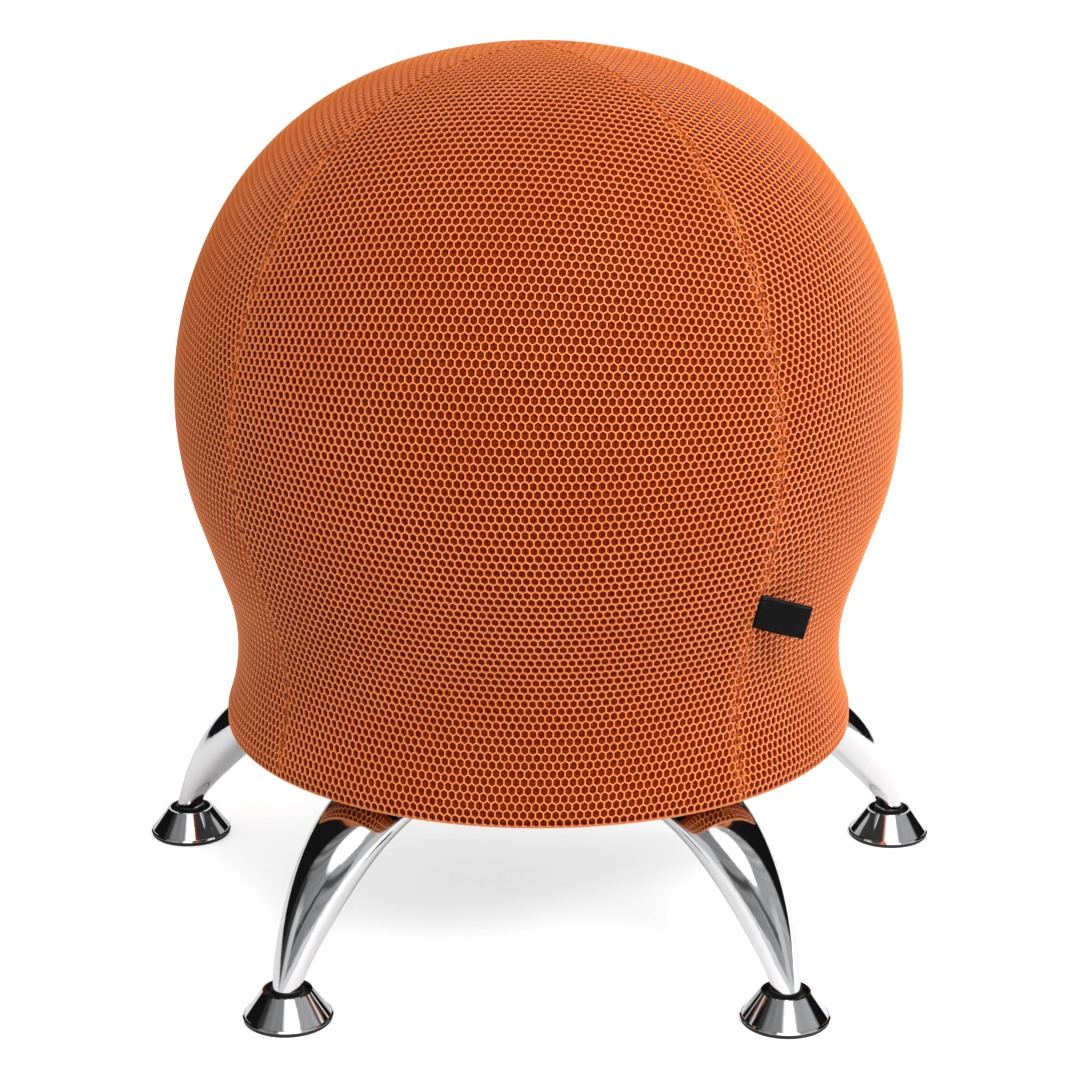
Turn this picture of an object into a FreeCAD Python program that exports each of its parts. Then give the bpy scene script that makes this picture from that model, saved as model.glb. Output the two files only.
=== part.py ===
import FreeCAD, Part
import math
import os
import re
import Sketcher
from FreeCAD import Placement, Rotation, Vector

# A balance ball chair: an inflated ball in a fitted mesh cover, seated in a moulded dish that stands
# on five curved, chromed legs with tilting bell feet.
# Millimetres, +Z up. The front is towards -Y. One leg points straight back, along +Y, and the others
# follow every 72 degrees. Everything is drawn about the ball's upright axis. At the end it is all moved
# forward a little, so that the origin is on the floor in the middle of the chair's outline from above.

doc = FreeCAD.newDocument("BalanceBallChair")
sheet = doc.addObject("Spreadsheet::Sheet", "Sizes")

drivingSizes = [
    # ball
    ("ballRadius", 233.4, "inflated ball, outside"),
    ("ballWall", 1.5, "thickness of the skin"),
    ("ballSquash", 27.7, "how far the dish presses the underside flat"),
    ("shoulderInset", 36.7, "the shoulder's radius is this much less than the ball's"),
    ("shoulderAngle", 55.9, "degrees from the pole where the shoulder leaves the sphere"),
    ("crownGain", 66.1, "the crown's radius is this much more than the ball's"),
    ("valveBore", 3.6, "radius of the hole that the plug closes"),
    ("valveTube", 7.0, "radius of the valve's stem"),
    ("valveFlange", 14.0, "radius of the valve's foot inside the ball"),
    ("valveFlangeThick", 1.5, ""),
    ("valveLength", 13.0, "height of the whole valve"),
    ("plugHeadRadius", 9.0, "valve plug"),
    ("plugHeadThick", 1.7, ""),
    # cover
    ("coverThick", 3.0, "spacer mesh"),
    ("coverGap", 0.3, "between the cover and what it lies on"),
    ("waistInset", 8.0, "how far the neck draws in from the bottom edge"),
    ("waistShare", 0.2352, "height of the neck above the bottom edge, as a share of the ball's radius"),
    ("seamAngle", 38.0, "azimuth of the seam right of the front panel"),
    ("seamWidth", 5.0, ""),
    ("seamProud", 0.8, "how far a seam stands out"),
    ("hemThick", 2.7, "edge turned under the dish"),
    ("hemWidth", 15.0, ""),
    ("hemGap", 0.2, "between the hem and the dish"),
    ("elasticWidth", 8.0, ""),
    ("elasticThick", 1.0, ""),
    ("tabLength", 32.0, "how far the side tab stands out"),
    ("tabWidth", 23.0, "along the seam"),
    ("tabLayer", 0.8, "one layer of the tab's tape"),
    ("tabSpace", 0.5, "between its two layers"),
    ("tabRise", 73.0, "height of its middle above the neck"),
    ("tabSwing", 10.0, "degrees that the tab swings forward from straight sideways"),
    # dish
    ("dishInset", 28.3, "the dish's edge stands this far inside the ball's equator"),
    ("dishWall", 4.0, ""),
    ("dishFloor", 4.4, ""),
    ("dishDrop", 8.6, "from the floor's underside down to the rolled flange's underside"),
    ("flangeThick", 3.5, ""),
    ("flangeWidth", 15.1, ""),
    ("bandHeight", 7.5, "upright band at the dish's edge"),
    ("seatRimInset", 39.1, "from the dish's edge in to the top of the seat"),
    ("rimWidth", 5.0, ""),
    ("seatGap", 0.3, "between ball and dish"),
    ("dishBore", 26.0, "opening for a hand pump at the valve"),
    ("screwRing", 80.0, "radius of the ring of dish screws"),
    ("screwRadius", 2.5, ""),
    ("screwHeadRadius", 4.8, ""),
    ("screwHeadThick", 2.6, ""),
    # steel plates
    ("basePlateThick", 2.5, ""),
    ("basePlateClear", 4.0, "between the plate's edge and the dish's flange"),
    ("basePlateBore", 30.0, ""),
    ("legPlateThick", 4.0, ""),
    ("legPlateDeep", 46.0, "along the leg"),
    ("legPlateWide", 100.0, "across the leg"),
    ("legPlateCorner", 8.0, ""),
    ("legPlateInset", 53.1, "from the dish's edge in to the plate's middle"),
    # bolts, washers and nuts, M8
    ("boltEndSpace", 11.0, "from a bolt's middle to the leg plate's inner or outer edge"),
    ("boltSideSpace", 8.0, "from a bolt's middle to the leg plate's side"),
    ("boltRadius", 3.95, ""),
    ("boltHole", 4.3, ""),
    ("boltHeadRadius", 7.0, ""),
    ("boltHeadThick", 4.4, ""),
    ("boltSocket", 2.5, "radius of the key's socket"),
    ("boltPoint", 1.8, "length beyond the nut"),
    ("washerRadius", 8.0, ""),
    ("washerThick", 1.6, ""),
    ("nutAcross", 13.0, "across flats"),
    ("nutThick", 6.5, ""),
    # legs
    ("footOutset", 56.9, "from the dish's edge out to a foot's middle"),
    ("legRise", 97.8, "from the tube's lower end up to the middle of its root"),
    ("ankleRise", 15.4, "upright start of the leg's curve"),
    ("kneeOutset", 19.9, "the curve's knee, outside the dish's edge"),
    ("kneeRise", 67.4, "the curve's knee, above the tube's lower end"),
    ("hipInset", 4.6, "where the curve turns level, inside the dish's edge"),
    ("rootInset", 73.1, "the tube's inner end, inside the dish's edge"),
    ("footHalfWidth", 9.4, "half width of the tube at its lower end"),
    ("shinHalfWidth", 14.2, "half width that shapes the shin"),
    ("thighHalfWidth", 26.9, "half width that shapes the thigh"),
    ("rootHalfWidth", 33.5, "half width at the root"),
    ("footHalfThick", 9.0, "half thickness of the tube, the same way"),
    ("shinHalfThick", 2.4, "shapes the shin, and the section itself stays thicker"),
    ("kneeHalfThick", 33.6, "shapes the knee"),
    ("thighHalfThick", 10.0, ""),
    ("rootHalfThick", 11.3, ""),
    ("legWall", 1.5, ""),
    # feet
    ("padInset", 0.6, "the black pad's edge, inside the bell's bead"),
    ("padThick", 2.4, ""),
    ("padSpigot", 1.2, "how far the pad reaches up into the bell"),
    ("bellBead", 1.7, "height of the bead at the bell's foot"),
    ("beadOutset", 1.4, "how far the bead stands out from the cone"),
    ("bellFootRadius", 26.8, "cone, at its foot"),
    ("bellMouthRadius", 15.5, "cone, at its mouth"),
    ("bellThick", 17.4, "height of the bell"),
    ("bellWall", 1.4, "measured level"),
    ("jointHeight", 10.0, "middle of the ball joint above the floor"),
    ("socketTop", 3.0, "from the ball joint's middle up to the socket's top"),
    ("studBall", 5.0, "radius of the stud's ball"),
    ("studNeck", 2.8, ""),
    ("studReach", 8.8, "from the ball joint's middle up to the end plug"),
    ("studCollarRadius", 6.0, ""),
    ("studCollarThick", 2.7, ""),
    ("studShank", 4.0, ""),
    ("studLength", 9.0, "shank inside the end plug"),
    ("endPlugRadius", 10.0, "plug's flange under the tube"),
    ("endPlugFlange", 2.5, ""),
    ("endPlugDepth", 11.0, "how far the plug reaches up into the tube"),
    # clearances
    ("fitGap", 0.15, "between two pieces that are pressed or clipped together"),
    ("turnGap", 0.05, "around a shaft that turns or slides"),
    ("openGap", 0.3, "between pieces that move past each other"),
]

# Sizes and heights that follow from the driving ones.
derivedSizes = {
    "plugZ": "jointHeight + studReach",
    "tubeEndZ": "plugZ + endPlugFlange",
    "rootZ": "tubeEndZ + legRise",
    "legPlateZ": "rootZ + rootHalfThick",
    "basePlateZ": "legPlateZ + legPlateThick",
    "dishZ": "basePlateZ + basePlateThick",
    "floorZ": "dishZ + dishFloor",
    "ballZ": "floorZ + seatGap",
    "ballCentreZ": "ballZ + ballRadius - ballSquash",
    "flangeZ": "dishZ - dishDrop",
    "hemTopZ": "flangeZ - hemGap",
    "hemZ": "hemTopZ - hemThick",
    "bandTopZ": "flangeZ + bandHeight",
    "waistZ": "hemZ + ballRadius * waistShare",
    "tabZ": "waistZ + tabRise",
    "dishRadius": "ballRadius - dishInset",
    "flangeInner": "dishRadius - flangeWidth",
    "seatRim": "dishRadius - seatRimInset",
    "seatRadius": "ballRadius + seatGap",
    "footCircle": "dishRadius + footOutset",
    "legPlateRadius": "dishRadius - legPlateInset",
    "basePlateRadius": "flangeInner - basePlateClear",
    "coverEdge": "dishRadius + coverGap + coverThick",
    "hemOuter": "dishRadius + coverGap - fitGap",
    "hemInner": "hemOuter - hemWidth",
    "boltsDeep": "legPlateDeep - 2 * boltEndSpace",
    "boltsWide": "legPlateWide - 2 * boltSideSpace",
    "bellRadius": "bellFootRadius + beadOutset",
    "padRadius": "bellRadius - padInset",
    "backReach": "footCircle + bellRadius",
    "frontReach": "footCircle * cos(36 deg) + bellRadius",
    "bellTopZ": "padThick + bellThick",
    "bellSlope": "(bellFootRadius - bellMouthRadius) / (bellThick - bellBead)",
    "socketZ": "padThick + padSpigot + fitGap",
    "boltHeadZ": "legPlateZ - washerThick",
}

legNames = ["rear", "side_left", "front_left", "front_right", "side_right"]
legSpacing = 360.0 / len(legNames)
panelNames = ["front", "left", "back", "right"]
panelAngle = 360.0 / len(panelNames)
seamNames = ["front_right", "front_left", "back_left", "back_right"]
overallHeight = 1000.0   # longer than anything, for cuts that go right through

for row, (alias, number, note) in enumerate(drivingSizes, start=1):
    sheet.set(f"A{row}", alias)
    sheet.set(f"B{row}", str(number))
    sheet.setAlias(f"B{row}", alias)
    sheet.set(f"C{row}", note)
doc.recompute()

aliasWords = re.compile(r"\b(" + "|".join(alias for alias, _, _ in drivingSizes) + r")\b")
derivedWords = re.compile(r"\b(" + "|".join(derivedSizes) + r")\b")


def bound(text):
    """Writes an expression of named sizes in terms of the sheet's own cells."""
    while derivedWords.search(text):
        text = derivedWords.sub(lambda word: "(" + derivedSizes[word.group(1)] + ")", text)
    return aliasWords.sub(r"Sizes.\1", text)


def size(text):
    """The value of a named size, or of an expression of them."""
    return float(doc.Sizes.evalExpression(bound(text).replace("Sizes.", "")))


def plane(body, role):
    return [feature for feature in body.Origin.OriginFeatures if feature.Role == role][0]


def newSketch(body, name, role, offset=None):
    sketch = body.newObject("Sketcher::SketchObject", name)
    sketch.AttachmentSupport = [(plane(body, role), "")]
    sketch.MapMode = "FlatFace"
    if offset:
        sketch.setExpression("AttachmentOffset.Base.z", bound(offset))
    return sketch


def bind(sketch, constraint, text):
    index = sketch.addConstraint(constraint)
    if re.search("[A-Za-z]", text):
        sketch.setExpression(f"Constraints[{index}]", bound(text))


def drawOutline(sketch, corners):
    """Draws a closed outline. A corner is (x, y), or (x, y, radius, centre height) where an arc about
    the vertical axis leads on to the next corner."""
    places = [Vector(size(corner[0]), size(corner[1]), 0) for corner in corners]
    ends = []
    for index, corner in enumerate(corners):
        here, there = places[index], places[(index + 1) % len(places)]
        first, last = 1, 2
        if len(corner) == 4:
            centre = Vector(0, size(corner[3]), 0)
            angles = [math.atan2(spot.y - centre.y, spot.x) for spot in (here, there)]
            if angles[0] > angles[1]:
                first, last = 2, 1
            circle = Part.Circle(centre, Vector(0, 0, 1), size(corner[2]))
            geometry = Part.ArcOfCircle(circle, min(angles), max(angles))
        else:
            geometry = Part.LineSegment(here, there)
        sketch.addGeometry(geometry, False)
        ends.append((first, last))
    for index, corner in enumerate(corners):
        after = (index + 1) % len(corners)
        sketch.addConstraint(
            Sketcher.Constraint("Coincident", index, ends[index][1], after, ends[after][0]))
    for index, corner in enumerate(corners):
        first = ends[index][0]
        bind(sketch, Sketcher.Constraint("DistanceX", index, first, places[index].x), corner[0])
        bind(sketch, Sketcher.Constraint("DistanceY", index, first, places[index].y), corner[1])
        if len(corner) == 4:
            bind(sketch, Sketcher.Constraint("Radius", index, size(corner[2])), corner[2])


def drawCircles(sketch, centres, radius):
    for x, y in centres:
        circle = Part.Circle(Vector(size(x), size(y), 0), Vector(0, 0, 1), size(radius))
        index = sketch.addGeometry(circle, False)
        bind(sketch, Sketcher.Constraint("DistanceX", index, 3, size(x)), x)
        bind(sketch, Sketcher.Constraint("DistanceY", index, 3, size(y)), y)
        bind(sketch, Sketcher.Constraint("Radius", index, size(radius)), radius)


def newBody(label):
    body = doc.addObject("PartDesign::Body", label)
    body.Label = label
    return body


def turned(label, corners):
    """A body turned about the vertical axis from its half outline."""
    body = newBody(label)
    sketch = newSketch(body, label + "_outline", "XZ_Plane")
    drawOutline(sketch, corners)
    revolution = body.newObject("PartDesign::Revolution", label + "_turned")
    revolution.Profile = sketch
    revolution.ReferenceAxis = (sketch, ["V_Axis"])
    revolution.Angle = 360
    doc.recompute()
    return body


def cutHoles(body, name, centres, radius, copies, above=None):
    """Cuts round holes right through, or only above a height, and repeats them round the axis."""
    sketch = newSketch(body, name + "_circles", "XY_Plane", above)
    drawCircles(sketch, centres, radius)
    pocket = body.newObject("PartDesign::Pocket", name)
    pocket.Profile = sketch
    pocket.Type = "ThroughAll"
    pocket.Midplane = above is None
    pocket.Reversed = above is not None
    if copies > 1:
        pattern = body.newObject("PartDesign::PolarPattern", name + "_ring")
        pattern.Originals = [pocket]
        pattern.Axis = (plane(body, "Z_Axis"), [""])
        pattern.Angle = 360
        pattern.Occurrences = copies
        body.Tip = pattern
    doc.recompute()


def shaped(label, shape, place=None):
    """A piece whose shape comes from formulas rather than from sketches."""
    feature = doc.addObject("Part::Feature", label)
    feature.Label = label
    feature.Shape = shape
    if place:
        feature.Placement = place
    return feature


def aboutAxis(angle):
    return Placement(Vector(0, 0, 0), Rotation(Vector(0, 0, 1), angle))


def legAngle(index):
    """Degrees from +X to a leg, and the rear leg comes first."""
    return 90.0 + legSpacing * index


def polar(radius, angle, centre=(0.0, 0.0)):
    """A point of an outline, at an angle in degrees from the axis's upward direction."""
    turn = math.radians(angle)
    return Vector(centre[0] + radius * math.sin(turn), 0, centre[1] + radius * math.cos(turn))


def arcThrough(radius, start, end, centre):
    points = [polar(radius, angle, centre) for angle in (start, (start + end) / 2, end)]
    return Part.Arc(*points).toShape()


# The crown is a large arc on the axis, the shoulder a small one, and the rest of the ball a sphere.
shoulderCentre = (size("shoulderInset") * math.sin(math.radians(size("shoulderAngle"))),
                  size("ballCentreZ") + size("shoulderInset") * math.cos(math.radians(size("shoulderAngle"))))
crownExtra = size("crownGain + shoulderInset")
crownAngle = math.degrees(math.asin(shoulderCentre[0] / crownExtra))
crownCentre = (0.0, shoulderCentre[1] - crownExtra * math.cos(math.radians(crownAngle)))
ballCentre = (0.0, size("ballCentreZ"))

# The neck is one hollow arc from the bottom edge, and a straight stretch joins it to the sphere.
coverRadius = size("ballRadius + coverGap + coverThick")
edgeRise = size("waistZ - bandTopZ")
neckRadius = (size("waistInset") ** 2 + edgeRise ** 2) / (2 * size("waistInset"))
neckCentre = (size("coverEdge - waistInset") + neckRadius, size("waistZ"))
neckSpan = (neckCentre[0], ballCentre[1] - neckCentre[1])
neckLean = math.degrees(math.atan2(neckSpan[1], neckSpan[0])
                        - math.acos((coverRadius + neckRadius) / math.hypot(*neckSpan)))


def crownEdges(grow, lowest):
    """The ball's outline from the pole down to an angle, grown outwards by a distance."""
    shoulder = size("ballRadius - shoulderInset") + grow
    return [arcThrough(size("ballRadius + crownGain") + grow, 0, crownAngle, crownCentre),
            arcThrough(shoulder, crownAngle, size("shoulderAngle"), shoulderCentre),
            arcThrough(size("ballRadius") + grow, size("shoulderAngle"), lowest, ballCentre)]


def coverEdges(inset):
    """The cover's outside from the pole down to its edge, drawn in by a distance."""
    sphereRadius = coverRadius - inset
    grow = sphereRadius - size("ballRadius")
    inner = neckRadius + inset
    side = size("coverEdge") - inset
    edgeTurn = math.degrees(math.asin((neckCentre[0] - side) / inner))
    edges = crownEdges(grow, 90 + neckLean)
    leave = polar(sphereRadius, 90 + neckLean, ballCentre)
    meet = polar(inner, neckLean - 90, neckCentre)
    edges.append(Part.LineSegment(leave, meet).toShape())
    edges.append(arcThrough(inner, neckLean - 90, edgeTurn - 180, neckCentre))
    return edges


def lastPoint(edges):
    return edges[-1].valueAt(edges[-1].LastParameter)


def bandBetween(outer, inner, bottom, angle):
    """A band between two outlines, closed at the pole and at a level bottom, and turned."""
    down = [Vector(lastPoint(edges).x, 0, bottom) for edges in (outer, inner)]
    closing = [Part.LineSegment(lastPoint(outer), down[0]).toShape(),
               Part.LineSegment(down[0], down[1]).toShape(),
               Part.LineSegment(down[1], lastPoint(inner)).toShape(),
               Part.LineSegment(inner[0].valueAt(inner[0].FirstParameter),
                                outer[0].valueAt(outer[0].FirstParameter)).toShape()]
    wire = Part.Wire(Part.__sortEdges__(outer + inner + closing))
    return Part.Face(wire).revolve(Vector(0, 0, 0), Vector(0, 0, 1), angle)


def makeBall():
    floors = (size("ballZ"), size("ballZ + ballWall"))
    shells = []
    for grow, floor in zip((0.0, -size("ballWall")), floors):
        lowest = 90 + math.degrees(math.asin((ballCentre[1] - floor) / (size("ballRadius") + grow)))
        edges = crownEdges(grow, lowest)
        pole, corner = edges[0].valueAt(edges[0].FirstParameter), lastPoint(edges)
        floorEdge = Part.LineSegment(corner, Vector(0, 0, floor)).toShape()
        axisEdge = Part.LineSegment(Vector(0, 0, floor), pole).toShape()
        face = Part.Face(Part.Wire(Part.__sortEdges__(edges + [floorEdge, axisEdge])))
        shells.append(face.revolve(Vector(0, 0, 0), Vector(0, 0, 1), 360))
    skin = shells[0].cut(shells[1])
    bore = Part.makeCylinder(size("valveBore"), size("ballWall") * 2, Vector(0, 0, floors[0] - size("ballWall")))
    return shaped("ball", skin.cut(bore))


def makeValve():
    inside = "ballZ + ballWall"
    turned("ball_valve", [
        ("valveBore", inside),
        ("valveFlange", inside),
        ("valveFlange", inside + " + valveFlangeThick"),
        ("valveTube", inside + " + valveFlangeThick"),
        ("valveTube", inside + " + valveLength"),
        ("valveBore", inside + " + valveLength"),
    ])
    headTop = "ballZ - seatGap"
    turned("valve_plug", [
        ("0", headTop + " - plugHeadThick"),
        ("plugHeadRadius", headTop + " - plugHeadThick"),
        ("plugHeadRadius", headTop),
        ("valveBore - turnGap", headTop),
        ("valveBore - turnGap", inside + " + valveLength"),
        ("0", inside + " + valveLength"),
    ])


def makeCover():
    outer, inner = coverEdges(0.0), coverEdges(size("coverThick"))
    firstSeam = size("seamAngle") - 90.0
    panel = bandBetween(outer, inner, size("hemZ"), panelAngle)
    for index, name in enumerate(panelNames):
        shaped(f"cover_panel_{name}", panel, aboutAxis(firstSeam - panelAngle * (index + 1)))

    # A seam is a strip of even width that lies on the panels and stops short of the pole.
    sheath = bandBetween(coverEdges(-size("seamProud") - size("fitGap")), coverEdges(-size("fitGap")),
                         size("hemZ"), 360)
    slab = Part.makeBox(overallHeight, size("seamWidth"), overallHeight,
                        Vector(size("seamWidth"), -size("seamWidth") / 2, 0))
    strip = sheath.common(slab)
    for index, name in enumerate(seamNames):
        shaped(f"cover_seam_{name}", strip, aboutAxis(firstSeam - panelAngle * index))

    turned("cover_hem", [
        ("hemInner", "hemZ"),
        ("hemOuter - coverGap", "hemZ"),
        ("hemOuter - coverGap", "hemTopZ"),
        ("hemInner + hemWidth / 2 + elasticWidth / 2", "hemTopZ"),
        ("hemInner + hemWidth / 2 + elasticWidth / 2", "hemTopZ - elasticThick"),
        ("hemInner + hemWidth / 2 - elasticWidth / 2", "hemTopZ - elasticThick"),
        ("hemInner + hemWidth / 2 - elasticWidth / 2", "hemTopZ"),
        ("hemInner", "hemTopZ"),
    ])
    turned("hem_elastic", [
        ("hemInner + hemWidth / 2 - elasticWidth / 2 + fitGap", "hemTopZ - elasticThick"),
        ("hemInner + hemWidth / 2 + elasticWidth / 2 - fitGap", "hemTopZ - elasticThick"),
        ("hemInner + hemWidth / 2 + elasticWidth / 2 - fitGap", "hemTopZ"),
        ("hemInner + hemWidth / 2 - elasticWidth / 2 + fitGap", "hemTopZ"),
    ])


def coverRadiusAt(height):
    """Outside radius of the cover at a height on its straight stretch or its neck."""
    meet = polar(neckRadius, neckLean - 90, neckCentre)
    if height < meet.z:
        return neckCentre[0] - math.sqrt(neckRadius ** 2 - (height - neckCentre[1]) ** 2)
    return meet.x + (height - meet.z) * math.tan(math.radians(neckLean))


def makeTab():
    """A tape folded into a loop, its two ends sewn into the seam."""
    layer, space = size("tabLayer"), size("tabSpace")
    half = layer + space / 2
    length, across = size("tabLength"), size("tabWidth")
    outer = Part.makeBox(length - half, 2 * half, across, Vector(0, -half, 0))
    outer = outer.fuse(Part.makeCylinder(half, across, Vector(length - half, 0, 0)))
    hollow = Part.makeBox(length - half - layer, space, across, Vector(layer, -space / 2, 0))
    hollow = hollow.fuse(Part.makeCylinder(space / 2, across, Vector(length - half, 0, 0)))
    loop = outer.cut(hollow).removeSplitter()
    azimuth = math.radians(size("seamAngle"))
    heights = [size("tabZ") + rise * across / 2 for rise in (1, -1)]
    top, low = [Vector(coverRadiusAt(z) * math.sin(azimuth), -coverRadiusAt(z) * math.cos(azimuth), z)
                for z in heights]
    up = (top - low).normalize()
    swing = math.radians(size("tabSwing"))
    out = Vector(math.cos(swing), -math.sin(swing), 0)
    out = (out - up * out.dot(up)).normalize()
    side = up.cross(out)
    lift = size("seamProud + fitGap + openGap") + half
    middle = (top + low) * 0.5
    start = middle - up * (across / 2) + out * lift
    turn = Rotation(out, side, up, "ZXY")
    shaped("side_tab", loop, Placement(start, turn))


def makeDish():
    wallRadius = "seatRadius + dishWall"
    body = turned("base_dish", [
        ("dishBore", "dishZ"),
        (f"sqrt(({wallRadius})^2 - (ballCentreZ - dishZ)^2)", "dishZ", wallRadius, "ballCentreZ"),
        ("seatRim + 1", f"ballCentreZ - sqrt(({wallRadius})^2 - (seatRim + 1)^2)"),
        ("dishRadius - dishWall", "bandTopZ - 1"),
        ("dishRadius - dishWall", "flangeZ + flangeThick"),
        ("flangeInner", "flangeZ + flangeThick"),
        ("flangeInner", "flangeZ"),
        ("dishRadius - 1", "flangeZ"),
        ("dishRadius", "flangeZ + 1"),
        ("dishRadius", "bandTopZ"),
        ("seatRim + rimWidth", "ballCentreZ - sqrt(seatRadius^2 - seatRim^2)"),
        ("seatRim", "ballCentreZ - sqrt(seatRadius^2 - seatRim^2)", "seatRadius", "ballCentreZ"),
        ("sqrt(seatRadius^2 - (ballCentreZ - floorZ)^2)", "floorZ"),
        ("dishBore", "floorZ"),
    ])
    cutHoles(body, "screw_holes", [("0", "-screwRing")], "screwRadius", len(legNames))
    cutHoles(body, "screw_recesses", [("0", "-screwRing")], "screwHeadRadius", len(legNames),
             "floorZ - screwHeadThick")


def boltCentres(radial, tangential):
    """The four bolts of a leg's plate, for a leg along the first of two directions."""
    return [(f"{along}", f"{across}") for along in radial for across in tangential]


def makeBasePlate():
    body = turned("base_plate", [
        ("basePlateBore", "basePlateZ"),
        ("basePlateRadius", "basePlateZ"),
        ("basePlateRadius", "basePlateZ + basePlateThick"),
        ("basePlateBore", "basePlateZ + basePlateThick"),
    ])
    across = ["-boltsWide / 2", "boltsWide / 2"]
    along = ["legPlateRadius - boltsDeep / 2", "legPlateRadius + boltsDeep / 2"]
    cutHoles(body, "bolt_holes", boltCentres(across, along), "boltHole", len(legNames))
    cutHoles(body, "tapped_holes", [("0", "-screwRing")], "screwRadius", len(legNames))


def makeLegPlate(index, name):
    body = newBody(f"leg_plate_{name}")
    sketch = newSketch(body, name + "_plate_outline", "XY_Plane", "legPlateZ")
    inner, outer = "legPlateRadius - legPlateDeep / 2", "legPlateRadius + legPlateDeep / 2"
    drawOutline(sketch, [(inner, "-legPlateWide / 2"), (outer, "-legPlateWide / 2"),
                         (outer, "legPlateWide / 2"), (inner, "legPlateWide / 2")])
    pad = body.newObject("PartDesign::Pad", name + "_plate")
    pad.Profile = sketch
    pad.setExpression("Length", bound("legPlateThick"))
    doc.recompute()
    upright = [f"Edge{number}" for number, edge in enumerate(pad.Shape.Edges, start=1)
               if abs(edge.tangentAt(edge.FirstParameter).z) > 0.9]
    corners = body.newObject("PartDesign::Fillet", name + "_plate_corners")
    corners.Base = (pad, upright)
    corners.setExpression("Radius", bound("legPlateCorner"))
    doc.recompute()
    along = ["legPlateRadius - boltsDeep / 2", "legPlateRadius + boltsDeep / 2"]
    across = ["-boltsWide / 2", "boltsWide / 2"]
    cutHoles(body, name + "_plate_holes", boltCentres(along, across), "boltHole", 1)
    body.Placement = aboutAxis(legAngle(index))


def bernstein(controls, along):
    """A smooth blend of a few control values, from the first at 0 to the last at 1."""
    last = len(controls) - 1
    return sum((control * (math.comb(last, place) * (1 - along) ** (last - place) * along ** place)
                for place, control in enumerate(controls[1:], start=1)),
               controls[0] * (1 - along) ** last)


def legCurve():
    end = size("tubeEndZ")
    return [Vector(size("footCircle"), 0, end),
            Vector(size("footCircle"), 0, end + size("ankleRise")),
            Vector(size("dishRadius + kneeOutset"), 0, end + size("kneeRise")),
            Vector(size("dishRadius - hipInset"), 0, size("rootZ")),
            Vector(size("dishRadius - rootInset"), 0, size("rootZ"))]


def legOval(along, inset):
    """The tube's oval section at a place along its curve, with its wall taken off by inset."""
    curve = legCurve()
    steps = [after - before for before, after in zip(curve, curve[1:])]
    middle = bernstein(curve, along)
    ahead = bernstein(steps, along).normalize()
    wide, thick = [bernstein([size(part + word) for part in parts.split()], along) - inset for word, parts in (
        ("HalfWidth", "foot shin thigh root"), ("HalfThick", "foot shin knee thigh root"))]
    across = Vector(0, 1, 0)
    return Part.Wire(Part.Ellipse(middle + across * wide, middle + ahead.cross(across) * thick, middle).toShape())


def legLoft(start, end, stations, inset):
    ovals = [legOval(start + (end - start) * step / (stations - 1), inset) for step in range(stations)]
    return Part.makeLoft(ovals, True, False)


def makeLegTubes():
    stations = 13
    tube = legLoft(0.0, 1.0, stations, 0.0).cut(legLoft(0.0, 1.0, stations, size("legWall")))
    for index, name in enumerate(legNames):
        shaped(f"leg_{name}", tube, aboutAxis(legAngle(index)))


def makeEndPlugs():
    """A black plug closes each tube's lower end and holds the foot's stud."""
    curve = legCurve()
    reach = 0.0
    while bernstein(curve, reach).z < size("tubeEndZ + endPlugDepth"):
        reach += 0.005
    bung = legLoft(0.0, reach, 5, size("legWall + fitGap"))
    flange = Part.makeCylinder(size("endPlugRadius"), size("endPlugFlange"),
                               Vector(size("footCircle"), 0, size("plugZ")))
    bore = Part.makeCylinder(size("studShank + turnGap"), size("studLength + turnGap"),
                             Vector(size("footCircle"), 0, size("plugZ")))
    plug = flange.fuse(bung).cut(bore).removeSplitter()
    for index, name in enumerate(legNames):
        shaped(f"end_plug_{name}", plug, aboutAxis(legAngle(index)))


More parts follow.
